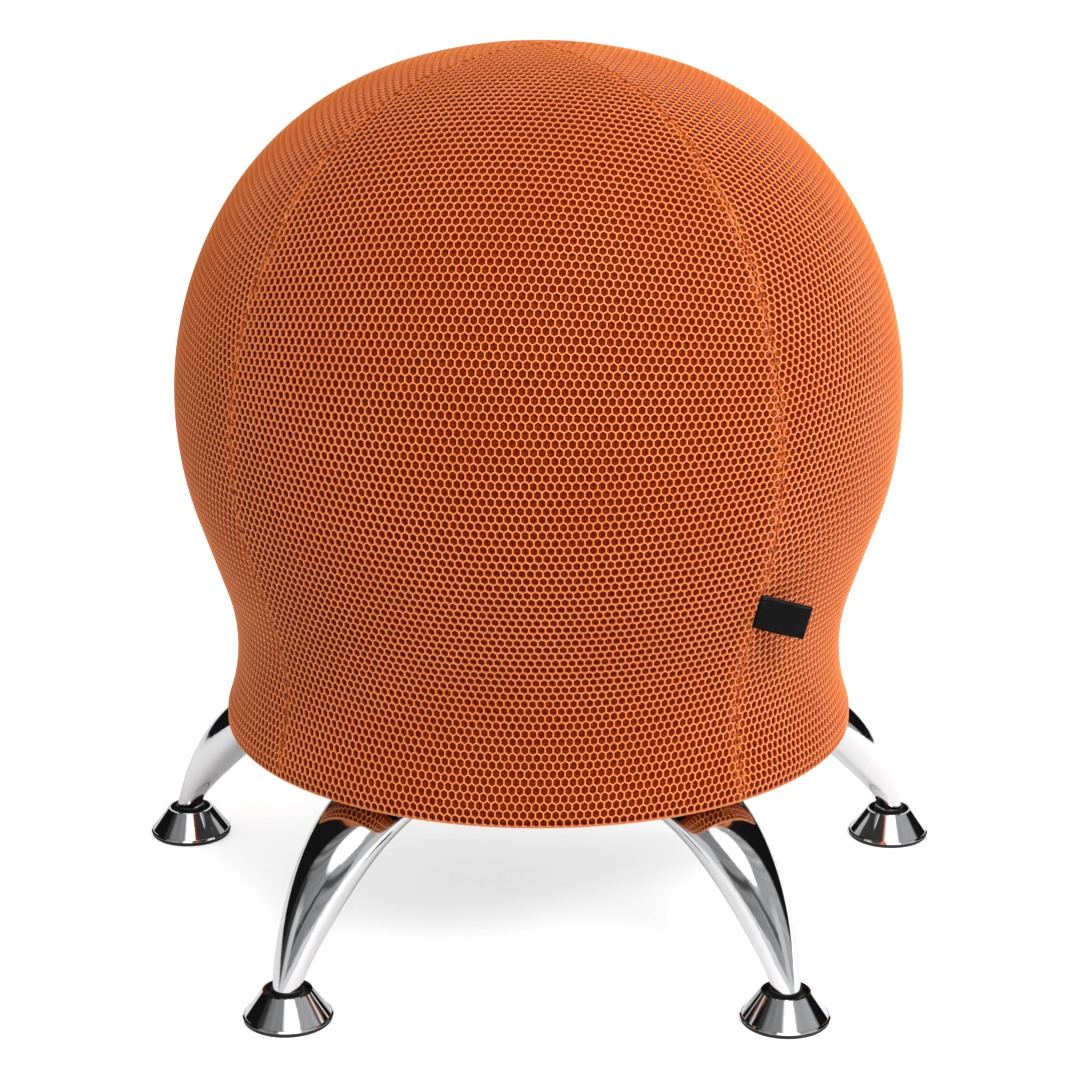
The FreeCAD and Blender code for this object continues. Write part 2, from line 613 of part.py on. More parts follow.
def makeFoot(index, name):
    """The stud, and the pad, bell and socket that tilt on its ball."""
    cone = "bellFootRadius - bellSlope * ({} - padThick - bellBead)"
    inside = "bellFootRadius - bellWall"
    pad = turned(f"foot_pad_{name}", [
        ("0", "0"),
        ("padRadius - 0.6", "0"),
        ("padRadius", "0.6"),
        ("padRadius", "padThick"),
        (inside + " - fitGap", "padThick"),
        (inside + " - fitGap", "padThick + padSpigot"),
        ("0", "padThick + padSpigot"),
    ])
    bell = turned(f"foot_bell_{name}", [
        (inside, "padThick"),
        ("bellRadius - 0.6", "padThick"),
        ("bellRadius", "padThick + 0.6"),
        ("bellRadius", "padThick + bellBead - 1"),
        ("bellFootRadius + 0.4", "padThick + bellBead"),
        ("bellFootRadius", "padThick + bellBead"),
        ("bellMouthRadius", "bellTopZ"),
        ("bellMouthRadius - bellWall", "bellTopZ"),
        (inside, "padThick + bellBead"),
    ])
    socketTopZ = "jointHeight + socketTop"
    cavity = "studBall + turnGap"
    socket = turned(f"foot_socket_{name}", [
        ("0", "socketZ"),
        (inside + " - fitGap", "socketZ"),
        (inside + " - fitGap", "padThick + bellBead"),
        (cone.format(socketTopZ) + " - bellWall - fitGap", socketTopZ),
        (f"sqrt(({cavity})^2 - socketTop^2)", socketTopZ, cavity, "jointHeight"),
        ("0", f"jointHeight - {cavity.replace(' + ', ' - ')}"),
    ])
    collarTop = "plugZ - openGap"
    stud = turned(f"foot_stud_{name}", [
        ("0", "jointHeight - studBall", "studBall", "jointHeight"),
        ("studNeck", "jointHeight + sqrt(studBall^2 - studNeck^2)"),
        ("studNeck", collarTop + " - studCollarThick"),
        ("studCollarRadius", collarTop + " - studCollarThick"),
        ("studCollarRadius", collarTop),
        ("studShank", collarTop),
        ("studShank", "plugZ + studLength"),
        ("0", "plugZ + studLength"),
    ])
    spot = aboutAxis(legAngle(index)).multVec(Vector(size("footCircle"), 0, 0))
    for body in (pad, bell, socket, stud):
        body.Placement = Placement(spot, Rotation(Vector(0, 0, 1), legAngle(index)))


def makeFasteners():
    """Four bolts, washers and nuts at each leg, and a ring of screws in the dish."""
    headZ, shankZ = size("boltHeadZ - boltHeadThick"), size("boltHeadZ")
    nutZ = size("dishZ")
    bolt = Part.makeCylinder(size("boltHeadRadius"), size("boltHeadThick"), Vector(0, 0, headZ))
    bolt = bolt.fuse(Part.makeCylinder(size("boltRadius"), nutZ + size("nutThick + boltPoint") - shankZ,
                                       Vector(0, 0, shankZ)))
    bolt = bolt.cut(Part.makeCylinder(size("boltSocket"), size("boltHeadThick") * 0.6, Vector(0, 0, headZ)))
    washer = Part.makeCylinder(size("washerRadius"), size("washerThick"), Vector(0, 0, shankZ))
    washer = washer.cut(Part.makeCylinder(size("boltHole"), size("washerThick"), Vector(0, 0, shankZ)))
    cornerRadius = size("nutAcross") / math.sqrt(3)
    corners = [Vector(cornerRadius * math.cos(math.radians(60 * side)),
                      cornerRadius * math.sin(math.radians(60 * side)), nutZ) for side in range(7)]
    nut = Part.Face(Part.makePolygon(corners)).extrude(Vector(0, 0, size("nutThick")))
    nut = nut.cut(Part.makeCylinder(size("boltRadius + turnGap"), size("nutThick"), Vector(0, 0, nutZ)))
    groups = {"leg_bolts": bolt, "leg_washers": washer, "leg_nuts": nut}
    for label, master in groups.items():
        copies = []
        for index in range(len(legNames)):
            for deep in (-0.5, 0.5):
                for wide in (-0.5, 0.5):
                    spot = Vector(size("legPlateRadius") + deep * size("boltsDeep"), wide * size("boltsWide"), 0)
                    copy = master.copy()
                    copy.Placement = aboutAxis(legAngle(index)) * Placement(spot, Rotation())
                    copies.append(copy)
        shaped(label, Part.Compound(copies))

    head = Part.makeCylinder(size("screwHeadRadius - fitGap"), size("screwHeadThick - fitGap"),
                             Vector(0, -size("screwRing"), size("floorZ - screwHeadThick")))
    shank = Part.makeCylinder(size("screwRadius - turnGap"), size("floorZ - screwHeadThick - basePlateZ"),
                              Vector(0, -size("screwRing"), size("basePlateZ")))
    slot = Part.makeBox(size("screwHeadRadius"), 1.2, 1.2,
                        Vector(-size("screwHeadRadius") / 2, -size("screwRing") - 0.6, size("floorZ") - 1.2))
    screw = head.fuse(shank).cut(slot)
    ring = [screw.copy() for _ in legNames]
    for index, copy in enumerate(ring):
        copy.Placement = aboutAxis(legSpacing * index)
    shaped("dish_screws", Part.Compound(ring))


makeBall()
makeValve()
makeCover()
makeTab()
makeDish()
makeBasePlate()
makeLegTubes()
makeEndPlugs()
for legIndex, legName in enumerate(legNames):
    makeLegPlate(legIndex, legName)
    makeFoot(legIndex, legName)
makeFasteners()
doc.recompute()

for item in doc.Objects:
    if "Invalid" in item.State or "Error" in item.State:
        raise RuntimeError(f"{item.Label} is not sound: {item.State}")

toRowFrame = Placement(Vector(0, size("(frontReach - backReach) / 2"), 0), Rotation())
os.makedirs("parts", exist_ok=True)
for item in doc.Objects:
    if item.TypeId in ("PartDesign::Body", "Part::Feature"):
        item.Placement = toRowFrame * item.Placement
        if item.Shape.isNull() or not item.Shape.isValid():
            raise RuntimeError(f"{item.Label} has no sound shape")
        item.Shape.exportStep(os.path.join("parts", item.Label + ".step"))
        box = item.Shape.optimalBoundingBox(True, False)
        print(f"{item.Label}: {len(item.Shape.Solids)} solid(s), {item.Shape.Volume / 1000:.1f} cm3, "
              f"z {box.ZMin:.1f} to {box.ZMax:.1f}")
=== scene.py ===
import bmesh
import bpy
import math
import numpy as np
from mathutils import Matrix, Vector, noise


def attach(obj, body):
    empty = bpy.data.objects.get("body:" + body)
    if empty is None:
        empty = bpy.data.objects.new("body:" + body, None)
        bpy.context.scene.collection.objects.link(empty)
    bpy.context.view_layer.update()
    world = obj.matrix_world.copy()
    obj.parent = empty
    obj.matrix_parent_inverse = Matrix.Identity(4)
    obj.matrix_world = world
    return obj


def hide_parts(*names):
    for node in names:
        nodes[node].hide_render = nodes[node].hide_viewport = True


# Balance ball chair: an inflated ball in a fitted cover of spacer mesh, on five chromed legs.
# Pieces are drawn in millimetres about the ball's upright axis, and are scaled to metres and moved to that
# axis when they are finished.
# The front is towards -Y. Angles of the cover's panels and seams are azimuths: 0 is the front, 90 the right.

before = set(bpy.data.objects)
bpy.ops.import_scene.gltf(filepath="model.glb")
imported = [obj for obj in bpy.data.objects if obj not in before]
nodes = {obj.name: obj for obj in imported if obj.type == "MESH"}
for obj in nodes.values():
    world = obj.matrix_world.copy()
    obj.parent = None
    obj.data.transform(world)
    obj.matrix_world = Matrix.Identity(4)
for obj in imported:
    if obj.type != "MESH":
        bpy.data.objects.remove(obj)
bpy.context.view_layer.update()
legNames = ["rear", "side_left", "front_left", "front_right", "side_right"]
ballCorners = [nodes["ball"].matrix_world @ Vector(corner) for corner in nodes["ball"].bound_box]
axisPlace = Vector((0, (min(c.y for c in ballCorners) + max(c.y for c in ballCorners)) / 2, 0))
print(f"frame: loaded {len(nodes)} parts, the ball's axis stands at y = {axisPlace.y:.5f}")


# helpers

def linear(hexText):
    channels = [int(hexText[place:place + 2], 16) / 255 for place in (1, 3, 5)]
    channels = [c / 12.92 if c <= 0.04045 else ((c + 0.055) / 1.055) ** 2.4 for c in channels]
    return (*channels, 1.0)


def addNode(tree, kind, settings=None, inputs=None):
    node = tree.nodes.new(kind)
    for name, value in (settings or {}).items():
        setattr(node, name, value)
    for name, value in (inputs or {}).items():
        if isinstance(value, bpy.types.NodeSocket):
            tree.links.new(value, node.inputs[name])
        else:
            node.inputs[name].default_value = value
    return node


def newMaterial(name, **shaderInputs):
    material = bpy.data.materials.new(name)
    material.use_nodes = True
    tree = material.node_tree
    tree.nodes.clear()
    shader = addNode(tree, "ShaderNodeBsdfPrincipled", inputs=shaderInputs)
    addNode(tree, "ShaderNodeOutputMaterial", inputs={"Surface": shader.outputs["BSDF"]})
    return material, tree, shader


def objectCoords(tree):
    return addNode(tree, "ShaderNodeTexCoord").outputs["Object"]


def aboutAxis(tree, place):
    return addNode(tree, "ShaderNodeVectorMath", {"operation": "SUBTRACT"}, {0: place, 1: axisPlace}).outputs["Vector"]


def ramp(tree, factor, stops):
    node = addNode(tree, "ShaderNodeValToRGB", inputs={"Fac": factor})
    while len(node.color_ramp.elements) < len(stops):
        node.color_ramp.elements.new(0.5)
    for element, (position, hexText) in zip(node.color_ramp.elements, stops):
        element.position = position
        element.color = linear(hexText)
    return node.outputs["Color"]


def calc(tree, operation, first, second=0.0, third=0.0):
    node = addNode(tree, "ShaderNodeMath", {"operation": operation}, {0: first, 1: second})
    if operation in ("MULTIPLY_ADD", "WRAP", "SMOOTH_MIN"):
        node.inputs[2].default_value = third
    return node.outputs[0]


def bumpOn(tree, shader, height, distance, strength=1.0, under=None):
    inputs = {"Height": height, "Distance": distance, "Strength": strength}
    if under is not None:
        inputs["Normal"] = under
    node = addNode(tree, "ShaderNodeBump", inputs=inputs)
    tree.links.new(node.outputs["Normal"], shader.inputs["Normal"])
    return node.outputs["Normal"]


def finishPiece(bm, name, material, body="chair", replaces=(), smooth=True):
    bmesh.ops.scale(bm, vec=(0.001, 0.001, 0.001), verts=bm.verts)
    bmesh.ops.translate(bm, vec=axisPlace, verts=bm.verts)
    mesh = bpy.data.meshes.new(name)
    bm.to_mesh(mesh)
    bm.free()
    piece = bpy.data.objects.new(name, mesh)
    bpy.context.scene.collection.objects.link(piece)
    mesh.materials.append(material)
    mesh.polygons.foreach_set("use_smooth", [smooth] * len(mesh.polygons))
    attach(piece, body)
    if replaces:
        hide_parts(*replaces)
    return piece


def dress(nodeName, material):
    slots = nodes[nodeName].data.materials
    if len(slots):
        for place in range(len(slots)):
            slots[place] = material
    else:
        slots.append(material)


# materials

# Strand colours from the ridge down into the holes: a painted highlight at the ridge, the yarn's own orange at the
# shoulder, and painted shade on the side and foot. glint is a painted glint on the back layer's loops; liningSeam is
# the turned-in cloth under the seams.
fabricColours = {
    "ridge": "#F0985A", "shoulder": "#D9680E", "side": "#B04000", "foot": "#841E00",
    "glint": "#D2601A", "lining": "#983000", "liningDeep": "#701A00", "liningSeam": "#D0601A",
}


def knittedYarn(name, ridge, shoulder):
    # Polyester multifilament. Its colour is painted by depth, read from "depth" on the mesh: a painted highlight along
    # a strand's ridge and painted shade deepening down into the holes.
    material, tree, shader = newMaterial(name, **{"Roughness": 0.4, "Specular IOR Level": 0.4, "IOR": 1.5})
    place = objectCoords(tree)
    depth = addNode(tree, "ShaderNodeAttribute", {"attribute_name": "depth"}).outputs["Fac"]
    patches = addNode(tree, "ShaderNodeTexNoise", inputs={"Vector": place, "Scale": 18.0, "Detail": 3.0})
    yarnSpots = addNode(tree, "ShaderNodeTexNoise", inputs={"Vector": place, "Scale": 900.0, "Detail": 2.0})
    uneven = calc(tree, "ADD", calc(tree, "MULTIPLY", patches.outputs["Fac"], 0.08),
                  calc(tree, "MULTIPLY", yarnSpots.outputs["Fac"], 0.16))
    # painted highlight at the ridge, the yarn's orange at the shoulder, painted shade down the side to the foot
    colour = ramp(tree, calc(tree, "ADD", depth, calc(tree, "SUBTRACT", uneven, 0.12)), [
        (0.02, ridge), (0.1, shoulder), (0.45, fabricColours["side"]), (0.95, fabricColours["foot"])])
    tree.links.new(colour, shader.inputs["Base Color"])
    yarn = addNode(tree, "ShaderNodeTexVoronoi", {"feature": "F1"}, {"Vector": place, "Scale": 1800.0})  # 0.55 mm loops
    bumpOn(tree, shader, yarn.outputs["Distance"], 0.0001, 0.3)
    return material


# Both take a painted highlight on the ridge and painted shade into the holes.
spacerStrand = knittedYarn("polyester spacer mesh, knitted face", fabricColours["ridge"], fabricColours["shoulder"])
seamStrand = knittedYarn("polyester spacer mesh, at a seam", "#EA8C40", "#D96C14")

spacerLining, tree, shader = newMaterial(   # the fabric's back layer, seen in shade through the holes
    "polyester spacer mesh, knitted back", **{"Roughness": 0.9, "Specular IOR Level": 0.05, "IOR": 1.5})
place = objectCoords(tree)
knit = addNode(tree, "ShaderNodeTexVoronoi", {"feature": "F1"}, {"Vector": place, "Scale": 1000.0})  # 1 mm loops
# A painted glint at each loop's middle, darker towards the loops' edges.
shade = ramp(tree, knit.outputs["Distance"], [(0.08, fabricColours["glint"]), (0.28, fabricColours["lining"]),
                                              (0.6, fabricColours["liningDeep"])])
tree.links.new(shade, shader.inputs["Base Color"])
bumpOn(tree, shader, knit.outputs["Distance"], 0.0003, 0.7)
liningTree, liningShade, liningShader, liningPlace = tree, shade, shader, place

tabTape, tree, shader = newMaterial(   # woven satin tape, black: a fine rib and a soft gloss
    "polyester satin tape, woven", **{"Roughness": 0.34, "Specular IOR Level": 0.09, "IOR": 1.5})
place = addNode(tree, "ShaderNodeUVMap", {"uv_map": "tape"}).outputs["UV"]
rib = addNode(tree, "ShaderNodeTexWave", {"bands_direction": "Y", "wave_profile": "SIN"},
              {"Vector": place, "Scale": 0.45, "Distortion": 0.4, "Detail": 1.0})   # a rib about every 0.7 mm
colour = ramp(tree, rib.outputs["Fac"], [(0.2, "#040404"), (0.8, "#0A0A0B")])
tree.links.new(colour, shader.inputs["Base Color"])
bumpOn(tree, shader, rib.outputs["Fac"], 0.00008, 0.5)

tabThread, tree, shader = newMaterial(   # polyester sewing thread, twisted, dull black
    "polyester thread", **{"Base Color": linear("#3C3C3F"), "Roughness": 0.6, "IOR": 1.5})
place = objectCoords(tree)
twist = addNode(tree, "ShaderNodeTexWave", {"bands_direction": "DIAGONAL"}, {"Vector": place, "Scale": 700.0})
bumpOn(tree, shader, twist.outputs["Fac"], 0.0001, 0.5)

seamThread, tree, shader = newMaterial(   # polyester overlock thread, dyed to the cover
    "polyester overlock thread", **{"Roughness": 0.6, "Sheen Weight": 0.2, "IOR": 1.5})
place = objectCoords(tree)
twist = addNode(tree, "ShaderNodeTexNoise", inputs={"Vector": place, "Scale": 700.0, "Detail": 2.0})
colour = ramp(tree, twist.outputs["Fac"], [(0.35, "#C9651F"), (0.65, "#F0914A")])
tree.links.new(colour, shader.inputs["Base Color"])
bumpOn(tree, shader, twist.outputs["Fac"], 0.0002, 0.6)

elasticBand, tree, shader = newMaterial(   # woven rubber-cored elastic: ribs across the band
    "woven elastic", **{"Base Color": linear("#1A1A1B"), "Roughness": 0.8, "IOR": 1.5})
place = objectCoords(tree)
split = addNode(tree, "ShaderNodeSeparateXYZ", inputs={"Vector": aboutAxis(tree, place)})
around = calc(tree, "ARCTAN2", split.outputs["Y"], split.outputs["X"])
rib = calc(tree, "SINE", calc(tree, "MULTIPLY", around, 900.0))   # 1.3 mm ribs
bumpOn(tree, shader, rib, 0.0003, 0.6)

polishedChrome, tree, shader = newMaterial(   # bright chrome plate on drawn steel: a mirror with faint haze
    "chrome plate, polished", **{"Base Color": linear("#E9EAEC"), "Metallic": 1.0, "Roughness": 0.06})
place = objectCoords(tree)
haze = addNode(tree, "ShaderNodeTexNoise", inputs={"Vector": place, "Scale": 35.0, "Detail": 4.0})
spread = addNode(tree, "ShaderNodeMapRange", inputs={"Value": haze.outputs["Fac"], "From Min": 0.3, "From Max": 0.7,
                                                     "To Min": 0.045, "To Max": 0.1})
tree.links.new(spread.outputs["Result"], shader.inputs["Roughness"])
peel = addNode(tree, "ShaderNodeTexNoise", inputs={"Vector": place, "Scale": 60.0, "Detail": 1.0})
bumpOn(tree, shader, peel.outputs["Fac"], 0.0004, 0.08)   # the slight waviness of buffed tube

powderCoat, tree, shader = newMaterial(   # black powder coat on steel: fine orange peel, satin
    "powder coat, black", **{"Base Color": linear("#19191B"), "Roughness": 0.45, "IOR": 1.5})
place = objectCoords(tree)
peel = addNode(tree, "ShaderNodeTexNoise", inputs={"Vector": place, "Scale": 800.0, "Detail": 2.0})
bumpOn(tree, shader, peel.outputs["Fac"], 0.0002, 0.35)

mouldedDish, tree, shader = newMaterial(   # polypropylene, moulded with a spark-eroded grain: matt with a low sheen
    "polypropylene, moulded black", **{"Roughness": 0.55, "IOR": 1.49})
place = objectCoords(tree)
grain = addNode(tree, "ShaderNodeTexNoise", inputs={"Vector": place, "Scale": 1400.0, "Detail": 3.0})
bumpOn(tree, shader, grain.outputs["Fac"], 0.00015, 0.5)
flow = addNode(tree, "ShaderNodeTexNoise", inputs={"Vector": place, "Scale": 12.0, "Detail": 3.0})
tree.links.new(ramp(tree, flow.outputs["Fac"], [(0.35, "#141415"), (0.7, "#1D1D1F")]), shader.inputs["Base Color"])

glidePad, tree, shader = newMaterial(   # thermoplastic elastomer foot, satin black, dusty at the floor
    "elastomer, moulded black", **{"Roughness": 0.6, "IOR": 1.5})
place = objectCoords(tree)
dust = addNode(tree, "ShaderNodeTexNoise", inputs={"Vector": place, "Scale": 160.0, "Detail": 4.0})
tree.links.new(ramp(tree, dust.outputs["Fac"], [(0.4, "#131314"), (0.75, "#232324")]), shader.inputs["Base Color"])
bumpOn(tree, shader, dust.outputs["Fac"], 0.0002, 0.3)

plugPlastic, tree, shader = newMaterial(   # nylon, moulded black, slight gloss
    "nylon, moulded black", **{"Roughness": 0.4, "IOR": 1.53})
place = objectCoords(tree)
flow = addNode(tree, "ShaderNodeTexNoise", inputs={"Vector": place, "Scale": 90.0, "Detail": 2.0})
tree.links.new(ramp(tree, flow.outputs["Fac"], [(0.35, "#121213"), (0.7, "#1C1C1D")]), shader.inputs["Base Color"])

socketNylon, tree, shader = newMaterial(   # natural nylon: waxy off-white
    "nylon, natural", **{"Roughness": 0.45, "IOR": 1.53, "Subsurface Weight": 0.1,
                         "Subsurface Radius": (0.002, 0.002, 0.0015)})
place = objectCoords(tree)
flow = addNode(tree, "ShaderNodeTexNoise", inputs={"Vector": place, "Scale": 120.0, "Detail": 2.0})
tree.links.new(ramp(tree, flow.outputs["Fac"], [(0.35, "#4A4A48"), (0.7, "#5A5A57")]), shader.inputs["Base Color"])

zincSteel, tree, shader = newMaterial(   # turned steel, bright zinc: fine lathe lines and a bluish grey
    "zinc plated steel, turned", **{"Base Color": linear("#B9BCC0"), "Metallic": 1.0, "Roughness": 0.3})
place = objectCoords(tree)
lathe = addNode(tree, "ShaderNodeTexWave", {"bands_direction": "Z"}, {"Vector": place, "Scale": 500.0})
bumpOn(tree, shader, lathe.outputs["Fac"], 0.0001, 0.25)

blackZinc, tree, shader = newMaterial(   # black zinc on screws: dark grey, slightly oily shine
    "black zinc plated steel", **{"Metallic": 1.0, "Roughness": 0.38})
place = objectCoords(tree)
oil = addNode(tree, "ShaderNodeTexNoise", inputs={"Vector": place, "Scale": 300.0, "Detail": 2.0})
tree.links.new(ramp(tree, oil.outputs["Fac"], [(0.35, "#3A3B3E"), (0.7, "#55575B")]), shader.inputs["Base Color"])

ballVinyl, tree, shader = newMaterial(   # soft PVC, dip-moulded satin grey
    "PVC, soft satin", **{"Roughness": 0.42, "IOR": 1.53})
place = objectCoords(tree)
flow = addNode(tree, "ShaderNodeTexNoise", inputs={"Vector": place, "Scale": 25.0, "Detail": 3.0})
tree.links.new(ramp(tree, flow.outputs["Fac"], [(0.35, "#5B5D61"), (0.7, "#6C6E73")]), shader.inputs["Base Color"])
bumpOn(tree, shader, flow.outputs["Fac"], 0.0004, 0.2)
print("materials: ready")


# cover

cover = {
    "topZ": 572.5,
    # The outline from the pole down: (arc radius, degrees turned), or (None, length) for a straight run.
    "outline": [(302.8, 17.19), (200.0, 38.71), (236.7, 52.89), (None, 51.4), (-127.8, 38.0), (14.0, 19.21),
                (None, 7.3), (1.9, 90.0), (None, 12.0)],
    "cellWide": 4.95, "cellTall": 5.05,     # mm between holes along a row, and between rows
    "strandTop": 0.42, "strandSide": 0.27,  # mm from a strand's ridge to its shoulder, and on to its foot
    "shoulderDrop": 0.2, "sideDrop": 1.4,
    "liningDepth": 2.1,
    "pinch": 0.16, "pinchEnd": 620.0,       # how the cloth narrows away from a panel's middle
    "droop": 0.49, "droopEnd": 385.0,       # and how its rows sag towards the seams on the upper half
    "firstSeam": 38.0,                      # azimuth of the seam right of the front panel
    "panels": ["front", "left", "back", "right"],
    "seams": ["front_right", "front_left", "back_left", "back_right"],
    "seamRoom": 0.9,                        # mm from a panel's edge to the middle of the seam
}


def walkOutline(steps, topZ, spacing=1.0):
    # Rows of (length walked, radius, height, outward normal's radius and height).
    rows, radius, height, heading, walked = [], 0.0, topZ, 0.0, 0.0
    for bend, amount in steps:
        length = amount if bend is None else abs(bend) * math.radians(amount)
        count = max(2, int(length / spacing))
        for _ in range(count):
            rows.append((walked, radius, height, math.sin(heading), math.cos(heading)))
            step = length / count
            heading += 0.0 if bend is None else step / bend / 2
            radius += step * math.cos(heading)
            height -= step * math.sin(heading)
            heading += 0.0 if bend is None else step / bend / 2
            walked += step
    rows.append((walked, radius, height, math.sin(heading), math.cos(heading)))
    return np.array(rows)


outline = walkOutline(cover["outline"], cover["topZ"])
coverLength = outline[-1, 0]
print(f"cover: outline {coverLength:.0f} mm long, bottom at {outline[:, 2].min():.2f} mm, edge at {outline[:, 1][-60:].max():.1f} mm")


def outlineAt(walked, column):
    return np.interp(walked, outline[:, 0], outline[:, column])


def drape(bm, azimuth, pinch=0.0, droop=0.0):
    # Lays a flat piece on the cover: X runs across the panel, -Y down from the pole and Z off the cloth.
    flat = np.array([vert.co for vert in bm.verts])
    down, turn = -flat[:, 1], np.zeros(len(flat))
    for _ in range(16):
        radius = np.maximum(outlineAt(down, 1), 0.05)
        width = radius * (1 - pinch * (1 - down / cover["pinchEnd"]) * turn ** 2)
        turn = np.clip(flat[:, 0] / width, -1.25, 1.25)
        sag = droop * np.clip(1 - down / cover["droopEnd"], 0, 1) * radius
        down = -flat[:, 1] + sag * turn ** 2
    angle = math.radians(azimuth) + turn
    radius = outlineAt(down, 1) + flat[:, 2] * outlineAt(down, 3)
    height = outlineAt(down, 2) + flat[:, 2] * outlineAt(down, 4)
    for vert, x, y, z in zip(bm.verts, radius * np.sin(angle), -radius * np.cos(angle), height):
        vert.co = (x, y, z)


def knitNet(columns, rows, wide, tall, top, side, drops):
    # A flat net of six-sided holes: one cell, repeated along a row, then pairs of rows.
    bm = bmesh.new()
    cell = bmesh.ops.create_circle(bm, cap_ends=True, segments=6, radius=wide / math.sqrt(3))
    bmesh.ops.scale(bm, vec=(1, tall / (wide * math.sqrt(3) / 2), 1), verts=cell["verts"])
    hole = bm.faces[:]
    if hole[0].normal.z < 0:
        bmesh.ops.reverse_faces(bm, faces=hole)
    bmesh.ops.inset_individual(bm, faces=hole, thickness=top, depth=-drops[0], use_even_offset=True)
    bmesh.ops.inset_individual(bm, faces=hole, thickness=side, depth=-drops[1], use_even_offset=True)
    bmesh.ops.delete(bm, geom=hole, context="FACES_ONLY")
    bmesh.ops.translate(bm, vec=(-columns * wide / 2, 0, 0), verts=bm.verts)
    single = bm.verts[:] + bm.edges[:] + bm.faces[:]
    for step in range(1, columns):
        copy = bmesh.ops.duplicate(bm, geom=single)["geom"]
        bmesh.ops.translate(bm, vec=(step * wide, 0, 0), verts=[v for v in copy if isinstance(v, bmesh.types.BMVert)])
    row = bm.verts[:] + bm.edges[:] + bm.faces[:]
    copy = bmesh.ops.duplicate(bm, geom=row)["geom"]
    bmesh.ops.translate(bm, vec=(wide / 2, -tall, 0), verts=[v for v in copy if isinstance(v, bmesh.types.BMVert)])
    bmesh.ops.remove_doubles(bm, verts=bm.verts, dist=0.01)
    pair = bm.verts[:] + bm.edges[:] + bm.faces[:]
    for step in range(1, (rows + 1) // 2):
        copy = bmesh.ops.duplicate(bm, geom=pair)["geom"]
        bmesh.ops.translate(bm, vec=(0, -2 * step * tall, 0),
                            verts=[v for v in copy if isinstance(v, bmesh.types.BMVert)])
    bmesh.ops.remove_doubles(bm, verts=bm.verts, dist=0.01)
    return bm


def markDepth(bm, full):
    # How far each point lies below the strands' ridges, for the yarn's painted highlight and painted shade.
    depth = bm.verts.layers.float.new("depth")
    for vert in bm.verts:
        vert[depth] = min(1.0, max(0.0, -vert.co.z / full))


def keepWedge(bm, azimuth, halfAngle, room):
    # Cuts away what lies past two upright planes through the axis.
    for side in (-1, 1):
        edge = math.radians(azimuth + side * halfAngle)
        normal = Vector((math.cos(edge), math.sin(edge), 0)) * side
        bmesh.ops.bisect_plane(bm, geom=bm.verts[:] + bm.edges[:] + bm.faces[:], dist=0.0001,
                               plane_co=-normal * room, plane_no=normal, clear_outer=True)


def makePanels():
    columns = int(2 * outline[:, 1].max() * math.pi / 4 / cover["cellWide"]) + 8
    rows = int(coverLength / cover["cellTall"]) + 1
    flatNet = knitNet(columns, rows, cover["cellWide"], cover["cellTall"], cover["strandTop"], cover["strandSide"],
                      (cover["shoulderDrop"], cover["sideDrop"]))
    markDepth(flatNet, cover["shoulderDrop"] + cover["sideDrop"])
    middle = cover["firstSeam"] - 45.0
    drape(flatNet, middle, cover["pinch"], cover["droop"])
    keepWedge(flatNet, middle, 45.0, cover["seamRoom"])
    bmesh.ops.dissolve_degenerate(flatNet, dist=0.02, edges=flatNet.edges)
    loose = [vert for vert in flatNet.verts if not vert.link_faces]
    bmesh.ops.delete(flatNet, geom=loose, context="VERTS")
    print(f"cover: a panel's net has {len(flatNet.faces)} faces")
    panels = []
    for index, name in enumerate(cover["panels"]):
        net = flatNet.copy()
        bmesh.ops.rotate(net, cent=(0, 0, 0), matrix=Matrix.Rotation(math.radians(-90 * index), 3, "Z"),
                         verts=net.verts)
        panels.append(finishPiece(net, f"cover_net_{name}", spacerStrand,
                                  replaces=[f"cover_panel_{name}"]))
    flatNet.free()
    return panels


def makeLining():
    # The fabric's back layer: the cover's outline, set in and turned a quarter at a time.
    stops = np.unique(np.append(np.arange(0.0, coverLength, 6.0), coverLength))
    depth = cover["liningDepth"]
    linings = []
    for index, name in enumerate(cover["panels"]):
        bm = bmesh.new()
        azimuth = math.radians(cover["firstSeam"] - 90.0 * index)
        spots = [bm.verts.new(((outlineAt(s, 1) - depth * outlineAt(s, 3)) * math.sin(azimuth),
                               -(outlineAt(s, 1) - depth * outlineAt(s, 3)) * math.cos(azimuth),
                               outlineAt(s, 2) - depth * outlineAt(s, 4))) for s in stops]
        spots[0].co.x = spots[0].co.y = 0.0
        edges = [bm.edges.new(pair) for pair in zip(spots, spots[1:])]
        bmesh.ops.spin(bm, geom=spots + edges, cent=(0, 0, 0), axis=(0, 0, -1), angle=math.radians(90), steps=40)
        bmesh.ops.remove_doubles(bm, verts=bm.verts, dist=0.01)
        bmesh.ops.recalc_face_normals(bm, faces=bm.faces)
        crown = max(bm.faces, key=lambda face: face.calc_center_median().z)
        if crown.normal.z < 0:
            bmesh.ops.reverse_faces(bm, faces=bm.faces)
        linings.append(finishPiece(bm, f"cover_lining_{name}", spacerLining))
    return linings


seam = {
    "columns": 3, "cellWide": 2.9, "cellTall": 3.3, "strandTop": 0.42, "strandSide": 0.26,
    "shoulderDrop": 0.2, "sideDrop": 0.9,
    "sink": 1.0, "sinkFrom": 1.3, "sinkTo": 2.6,     # the turned-in cloth lies under the net on both sides
    "channel": 1.5, "channelWidth": 0.75,            # depth and half width of the line where the panels meet
    "wander": 1.3, "wanderLength": 6.0,              # how far that line wanders, and over what length
    "jitter": 0.8,
}


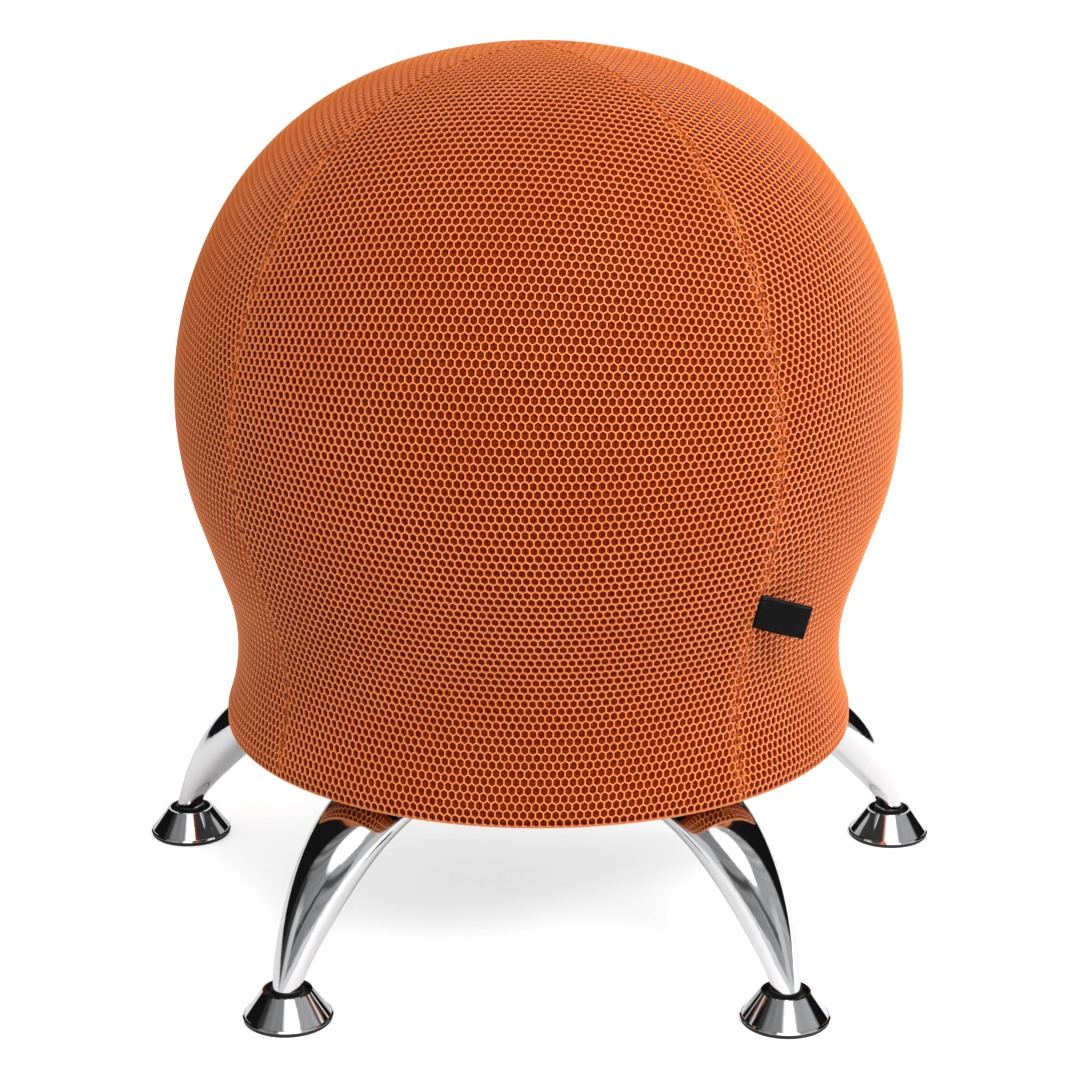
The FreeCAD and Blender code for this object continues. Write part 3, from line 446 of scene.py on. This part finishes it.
def makeSeams():
    noise.seed_set(7)   # without it noise_vector takes its offsets from the clock
    seams = []
    for index, name in enumerate(cover["seams"]):
        rows = int((coverLength - 14.0) / seam["cellTall"])
        bm = knitNet(seam["columns"], rows, seam["cellWide"], seam["cellTall"], seam["strandTop"],
                     seam["strandSide"], (seam["shoulderDrop"], seam["sideDrop"]))
        bmesh.ops.translate(bm, vec=(-seam["cellWide"] / 4, -1.5, 0), verts=bm.verts)
        for vert in bm.verts:
            across, along = vert.co.x, vert.co.y
            spot = Vector((across / 2.6, along / 2.6, 6.1 * index))
            shift = noise.noise_vector(spot) * seam["jitter"]
            wander = seam["wander"] * 2 * noise.noise(Vector((along / seam["wanderLength"], 7.3 * index, 0)))
            vert.co.x += shift.x
            vert.co.y += shift.y
            gap = abs(vert.co.x - wander)
            under = min(1.0, max(0.0, (abs(vert.co.x) - seam["sinkFrom"]) / (seam["sinkTo"] - seam["sinkFrom"])))
            vert.co.z += (0.35 * shift.z - seam["sink"] * under
                          - seam["channel"] * math.exp(-(gap / seam["channelWidth"]) ** 2) * (0.75 + shift.z))
        # The seam's yarn takes its painted highlight and painted shade from this depth: darkest down the channel.
        markDepth(bm, 2.0)
        drape(bm, cover["firstSeam"] - 90.0 * index)
        seams.append(finishPiece(bm, f"cover_seam_line_{name}", seamStrand,
                                 replaces=[f"cover_seam_{name}"]))
    return seams


hem = {"inner": 190.6, "outer": 204.0, "low": 126.6, "high": 127.4, "elasticWide": 7.9, "elasticLow": 127.15,
       "elasticHigh": 128.1, "stitchRadius": 194.2, "stitches": 236,
       "stitchLength": 3.6, "stitchThick": 0.75, "foldFromEnd": 12.9, "foldThick": 1.1}


def flatRing(middle, wide, low, high):
    bm = bmesh.new()
    half, rise = wide / 2, (high - low) / 2
    corners = [(middle + x * half, low + rise + z * rise)
               for x, z in ((-0.96, -0.7), (-0.7, -1), (0.7, -1), (1, 0), (0.7, 1), (-0.7, 1), (-0.96, 0.7), (-1, 0))]
    spots = [bm.verts.new((0, -radius, height)) for radius, height in corners]
    edges = [bm.edges.new(pair) for pair in zip(spots, spots[1:] + spots[:1])]
    bmesh.ops.spin(bm, geom=spots + edges, cent=(0, 0, 0), axis=(0, 0, 1), angle=math.radians(360), steps=180,
                   use_merge=True)
    bmesh.ops.recalc_face_normals(bm, faces=bm.faces)
    return bm


def makeHem():
    middle = (hem["inner"] + hem["outer"]) / 2
    band = finishPiece(flatRing(middle, hem["outer"] - hem["inner"], hem["low"], hem["high"]), "cover_hem_band",
                       spacerLining, replaces=["cover_hem"])
    elastic = finishPiece(flatRing(middle, hem["elasticWide"], hem["elasticLow"], hem["elasticHigh"]),
                          "hem_elastic_band", elasticBand, replaces=["hem_elastic"])

    bm = bmesh.new()
    first = bmesh.ops.create_icosphere(bm, subdivisions=1, radius=1.0)["verts"]
    bmesh.ops.scale(bm, vec=(hem["stitchLength"] / 2, hem["stitchThick"] / 2, hem["stitchThick"] / 2), verts=first)
    bmesh.ops.translate(bm, vec=(0, -hem["stitchRadius"], hem["low"]), verts=first)
    single = bm.verts[:] + bm.edges[:] + bm.faces[:]
    for step in range(1, hem["stitches"]):
        copy = bmesh.ops.duplicate(bm, geom=single)["geom"]
        bmesh.ops.rotate(bm, cent=(0, 0, 0), matrix=Matrix.Rotation(2 * math.pi * step / hem["stitches"], 3, "Z"),
                         verts=[v for v in copy if isinstance(v, bmesh.types.BMVert)])
    stitches = finishPiece(bm, "cover_hem_stitches", seamThread)

    bm = bmesh.new()
    fold = coverLength - hem["foldFromEnd"]
    ring = bmesh.ops.create_circle(bm, segments=8, radius=hem["foldThick"] / 2)["verts"]
    bmesh.ops.rotate(bm, cent=(0, 0, 0), matrix=Matrix.Rotation(math.radians(90), 3, "Y"), verts=ring)
    bmesh.ops.translate(bm, vec=(0, -float(outlineAt(fold, 1)) + hem["foldThick"] / 4, float(outlineAt(fold, 2))
                                 + hem["foldThick"] / 4), verts=ring)
    bmesh.ops.spin(bm, geom=bm.verts[:] + bm.edges[:], cent=(0, 0, 0), axis=(0, 0, 1), angle=math.radians(360),
                   steps=240, use_merge=True)
    bmesh.ops.recalc_face_normals(bm, faces=bm.faces)
    # Depth near nought all round, so the fold line takes the seam yarn's ridge colour, a painted highlight.
    markDepth(bm, 1000.0)
    line = finishPiece(bm, "cover_fold_line", seamStrand)
    return band, elastic, stitches, line


# The lining shows lighter, in patches, where the seam's turned-in cloth lies under it.
tree, shader = liningTree, liningShader
turned = addNode(tree, "ShaderNodeVectorRotate", {"rotation_type": "Z_AXIS"},
                 {"Vector": aboutAxis(tree, liningPlace), "Angle": math.radians(90 - cover["firstSeam"])})
split = addNode(tree, "ShaderNodeSeparateXYZ", inputs={"Vector": turned.outputs["Vector"]})
away = calc(tree, "MINIMUM", calc(tree, "ABSOLUTE", split.outputs["X"]), calc(tree, "ABSOLUTE", split.outputs["Y"]))
patch = addNode(tree, "ShaderNodeTexNoise", inputs={"Vector": liningPlace, "Scale": 210.0, "Detail": 0.0})
near = addNode(tree, "ShaderNodeMapRange", inputs={"Value": away, "From Min": 0.004, "From Max": 0.010,
                                                   "To Min": 1.0, "To Max": 0.0})
spots = addNode(tree, "ShaderNodeMapRange", inputs={"Value": patch.outputs["Fac"], "From Min": 0.42,
                                                    "From Max": 0.6, "To Min": 0.0, "To Max": 1.0})
share = calc(tree, "MULTIPLY", near.outputs["Result"], spots.outputs["Result"])
mixed = addNode(tree, "ShaderNodeMix", {"data_type": "RGBA"}, {"Factor": share})
tree.links.new(liningShade, mixed.inputs["A"])
mixed.inputs["B"].default_value = linear(fabricColours["liningSeam"])
tree.links.new(mixed.outputs["Result"], shader.inputs["Base Color"])

coverNets = makePanels()
coverLinings = makeLining()
coverSeams = makeSeams()
hemPieces = makeHem()


# side tab

tab = {"height": 253.3, "azimuth": 38.0, "length": 31.0, "wide": 23.0, "layer": 0.7, "loop": 1.5,
       "swing": 10.0, "curl": 1.6, "hemStitches": 9}


def makeTab():
    # Runs along X from the seam, folds over at its end and comes back. Y is the way across the tape's face.
    lengthSteps, foldSteps, acrossSteps = 14, 8, 10
    bm = bmesh.new()
    tape = bm.loops.layers.uv.new("tape")
    path = [(tab["length"] * step / lengthSteps, tab["loop"] / 2, tab["length"] * step / lengthSteps)
            for step in range(lengthSteps)]
    for step in range(foldSteps + 1):
        turn = math.pi * step / foldSteps
        path.append((tab["length"] + tab["loop"] / 2 * math.sin(turn), tab["loop"] / 2 * math.cos(turn),
                     tab["length"] + tab["loop"] / 2 * turn))
    back = path[-1][2]
    path += [(tab["length"] * (1 - step / lengthSteps), -tab["loop"] / 2, back + tab["length"] * step / lengthSteps)
             for step in range(1, lengthSteps + 1)]
    spots = [bm.verts.new((x, y, -tab["wide"] / 2)) for x, y, _ in path]
    rows = [bm.edges.new(pair) for pair in zip(spots, spots[1:])]
    for step in range(acrossSteps):
        pulled = bmesh.ops.extrude_edge_only(bm, edges=rows)["geom"]
        bmesh.ops.translate(bm, vec=(0, 0, tab["wide"] / acrossSteps),
                            verts=[v for v in pulled if isinstance(v, bmesh.types.BMVert)])
        rows = [e for e in pulled if isinstance(e, bmesh.types.BMEdge)
                and abs(e.verts[0].co.z - e.verts[1].co.z) < 1e-6]
    for face in bm.faces:
        for loop in face.loops:
            x, y = loop.vert.co.x, loop.vert.co.y
            along = x if y > 0 else back + tab["length"] - x
            loop[tape].uv = (along, loop.vert.co.z + tab["wide"] / 2)
    for vert in bm.verts:
        out, up = vert.co.x / tab["length"], vert.co.z / (tab["wide"] / 2)
        vert.co.y *= 0.45 + 0.55 * math.sin(min(1.0, out) * math.pi / 2) + 0.25 * (1 - up * up) * math.sin(math.pi * min(1.0, out))
        vert.co.y -= tab["curl"] * out * out + 0.35 * math.sin(out * 5.0) * up
        vert.co.z += 0.3 * noise.noise(Vector((vert.co.x / 3.0, 2.0, round(up, 3)))) * abs(up) ** 4
    bmesh.ops.recalc_face_normals(bm, faces=bm.faces)
    bmesh.ops.solidify(bm, geom=bm.faces[:], thickness=-tab["layer"])
    bmesh.ops.recalc_face_normals(bm, faces=bm.faces)

    threads = bmesh.new()
    for row in (2.2, 3.4):
        for step in range(tab["hemStitches"]):
            made = bmesh.ops.create_icosphere(threads, subdivisions=1, radius=1.0)["verts"]
            bmesh.ops.scale(threads, vec=(0.32, 0.32, 0.95), verts=made)
            bmesh.ops.translate(threads, vec=(row, 0.78 if row < 3 else 0.8,
                                              tab["wide"] * ((step + 0.5) / tab["hemStitches"] - 0.5)), verts=made)
    azimuth = math.radians(tab["azimuth"])
    walk = float(np.interp(-tab["height"], -outline[:, 2], outline[:, 0]))
    radius = float(outlineAt(walk, 1))
    normal = Vector((outlineAt(walk, 3) * math.sin(azimuth), -outlineAt(walk, 3) * math.cos(azimuth),
                     outlineAt(walk, 4)))
    swing = math.radians(tab["swing"])
    sideways = Vector((math.cos(azimuth), math.sin(azimuth), 0))
    up = normal.cross(sideways)
    up = up if up.z > 0 else -up
    out = Vector((math.cos(swing), -math.sin(swing), 0))
    out = (out - up * out.dot(up)).normalized()
    face = up.cross(out)
    origin = Vector((radius * math.sin(azimuth), -radius * math.cos(azimuth), tab["height"])) - out * 1.0
    place = Matrix((out, face if face.y < 0 else -face, up)).transposed().to_4x4()
    place.translation = origin
    for part in (bm, threads):
        bmesh.ops.transform(part, matrix=place, verts=part.verts)
        bmesh.ops.recalc_face_normals(part, faces=part.faces)
    tape = finishPiece(bm, "side_tab_loop", tabTape, replaces=["side_tab"])
    stitch = finishPiece(threads, "side_tab_stitches", tabThread)
    return tape, stitch


tabLoop, tabStitches = makeTab()
print("tab: done")


# finishes of the rigid parts

finishes = {
    "leg_{}": polishedChrome, "foot_bell_{}": polishedChrome, "foot_pad_{}": glidePad,
    "foot_socket_{}": socketNylon, "foot_stud_{}": zincSteel, "end_plug_{}": plugPlastic, "leg_plate_{}": powderCoat,
}
for pattern, material in finishes.items():
    for legName in legNames:
        dress(pattern.format(legName), material)
for nodeName, material in {"ball": ballVinyl, "ball_valve": ballVinyl, "valve_plug": ballVinyl,
                           "base_dish": mouldedDish, "base_plate": powderCoat,
                           "leg_bolts": blackZinc, "leg_washers": blackZinc, "leg_nuts": blackZinc,
                           "dish_screws": zincSteel}.items():
    dress(nodeName, material)
print("rigid parts: dressed")


# floor, light and camera

studio = {
    "floorColour": "#F4F4F4", "skyStrength": 0.7,
    "boxTurn": 10.0, "boxTilt": 61.0, "boxReach": 19.0, "boxStrength": 1.6,   # azimuth, height, half width
    "keySize": 1.3, "keyPower": 52.0, "keyPlace": (0.89, -2.0, 2.25),
    "glintSize": 0.55, "glintPower": 80.0,
    "rimSize": 1.2, "rimPower": 36.0, "rimPlace": (2.3, 0.5, 0.9),
    "cameraPlace": (0.0113, -1.85257, 0.8248), "cameraTurn": (72.61, 0.0, 0.35), "lens": 97.4,
}

floorPaint, tree, shader = newMaterial("painted floor, matt white", **{"Roughness": 0.9,
                                                                       "Base Color": linear(studio["floorColour"])})
glow = addNode(tree, "ShaderNodeEmission", inputs={"Color": (1, 1, 1, 1), "Strength": 0.5})
rays = addNode(tree, "ShaderNodeLightPath")
both = addNode(tree, "ShaderNodeAddShader")
tree.links.new(shader.outputs["BSDF"], both.inputs[0])
tree.links.new(glow.outputs["Emission"], both.inputs[1])
mixed = addNode(tree, "ShaderNodeMixShader", inputs={"Fac": rays.outputs["Is Camera Ray"]})
tree.links.new(shader.outputs["BSDF"], mixed.inputs[1])
tree.links.new(both.outputs[0], mixed.inputs[2])
out = [node for node in tree.nodes if node.type == "OUTPUT_MATERIAL"][0]
tree.links.new(mixed.outputs[0], out.inputs["Surface"])
bm = bmesh.new()
bmesh.ops.create_grid(bm, x_segments=1, y_segments=1, size=6.0)
mesh = bpy.data.meshes.new("floor")
bm.to_mesh(mesh)
bm.free()
floor = bpy.data.objects.new("floor", mesh)
floor.data.materials.append(floorPaint)
bpy.context.scene.collection.objects.link(floor)

# The room that polished metal mirrors: a white sweep up to the horizon, grey in front with a softbox high
# above it, and black flags at both sides and behind. Angles are in degrees, and azimuth 0 is the front.
world = bpy.data.worlds.new("studio")
bpy.context.scene.world = world
world.use_nodes = True
tree = world.node_tree
tree.nodes.clear()


def fade(value, start, end):
    return addNode(tree, "ShaderNodeMapRange", inputs={"Value": value, "From Min": start, "From Max": end}
                   ).outputs["Result"]


def blend(share, first, second):
    return addNode(tree, "ShaderNodeMix", {"data_type": "FLOAT"}, {"Factor": share, "A": first, "B": second}
                   ).outputs["Result"]


rays = addNode(tree, "ShaderNodeLightPath")
direction = objectCoords(tree)
split = addNode(tree, "ShaderNodeSeparateXYZ", inputs={"Vector": direction})
azimuth = calc(tree, "MULTIPLY", calc(tree, "ARCTAN2", split.outputs["X"],
                                      calc(tree, "MULTIPLY", split.outputs["Y"], -1.0)), 57.29578)
height = calc(tree, "MULTIPLY", calc(tree, "ARCSINE", split.outputs["Z"]), 57.29578)
sideways = calc(tree, "ABSOLUTE", azimuth)
band = calc(tree, "ADD", height, calc(tree, "MULTIPLY", sideways, 0.47))
streaks = addNode(tree, "ShaderNodeTexNoise", {"noise_dimensions": "1D"}, {"W": band, "Scale": 0.16, "Detail": 2.0})
wall = calc(tree, "ADD", calc(tree, "MULTIPLY", streaks.outputs["Fac"], 0.36), fade(azimuth, -400.0, 300.0))
wall = calc(tree, "SUBTRACT", wall, 0.45)
arch = calc(tree, "MAXIMUM", fade(calc(tree, "ABSOLUTE", calc(tree, "SUBTRACT", band, 34.0)), 2.0, 6.0),
            fade(sideways, 52.0, 64.0))
wall = calc(tree, "MULTIPLY", wall, blend(arch, 0.3, 1.0))
flank = calc(tree, "MULTIPLY", calc(tree, "MULTIPLY", fade(sideways, 44.0, 50.0), fade(sideways, 72.0, 64.0)),
             fade(height, 32.0, 22.0))
wall = blend(flank, wall, 0.62)
leftDark = calc(tree, "MULTIPLY", fade(azimuth, -66.0, -74.0), fade(height, 42.0, 34.0))
wall = blend(leftDark, wall, 0.035)
wall = blend(fade(calc(tree, "ABSOLUTE", calc(tree, "SUBTRACT", azimuth, 4.5)), 88.0, 96.0), wall, 0.006)
behind = calc(tree, "MULTIPLY", fade(sideways, 158.0, 166.0), fade(height, 34.0, 26.0))
wall = blend(behind, wall, 0.8)
turn, tilt = math.radians(studio["boxTurn"]), math.radians(studio["boxTilt"])
boxCentre = (math.sin(turn) * math.cos(tilt), -math.cos(turn) * math.cos(tilt), math.sin(tilt))
toBox = addNode(tree, "ShaderNodeVectorMath", {"operation": "DOT_PRODUCT"}, {0: direction, 1: boxCentre})
edge = math.cos(math.radians(studio["boxReach"]))
inBox = fade(toBox.outputs["Value"], edge - 0.02, edge + 0.02)
wall = calc(tree, "ADD", wall, calc(tree, "MULTIPLY", inBox, studio["boxStrength"]))
wall = blend(fade(calc(tree, "ADD", height, calc(tree, "MULTIPLY", sideways, 0.11)), 8.5, 7.0), wall, 0.75)
strength = blend(rays.outputs["Is Glossy Ray"], studio["skyStrength"], wall)
strength = blend(rays.outputs["Is Camera Ray"], strength, 1.0)
sky = addNode(tree, "ShaderNodeBackground", inputs={"Color": (1, 1, 1, 1), "Strength": strength})
addNode(tree, "ShaderNodeOutputWorld", inputs={"Surface": sky.outputs["Background"]})


def addLamp(name, size, power, place, glintOnly=False, target=(0, 0, 0.35)):
    place, target = Vector(place) + axisPlace, Vector(target) + axisPlace
    lamp = bpy.data.lights.new(name, "AREA")
    lamp.shape = "SQUARE"
    lamp.size, lamp.energy = size, power
    holder = bpy.data.objects.new(name, lamp)
    holder.location = place
    holder.rotation_euler = (target - place).to_track_quat("-Z", "Y").to_euler()
    holder.visible_glossy, holder.visible_diffuse = glintOnly, not glintOnly
    bpy.context.scene.collection.objects.link(holder)
    return holder


addLamp("key", studio["keySize"], studio["keyPower"], studio["keyPlace"])
addLamp("glint", studio["glintSize"], studio["glintPower"], studio["keyPlace"], glintOnly=True)
addLamp("rim", studio["rimSize"], studio["rimPower"], studio["rimPlace"])

lens = bpy.data.cameras.new("camera")
lens.lens, lens.sensor_width = studio["lens"], 36.0
lens.shift_x = 0.0013
lens.clip_start, lens.clip_end = 0.05, 50.0
camera = bpy.data.objects.new("camera", lens)
camera.location = Vector(studio["cameraPlace"]) + axisPlace
camera.rotation_euler = [math.radians(angle) for angle in studio["cameraTurn"]]
bpy.context.scene.collection.objects.link(camera)
bpy.context.scene.camera = camera
bpy.context.scene.view_settings.view_transform = "Standard"
print("studio: lit")
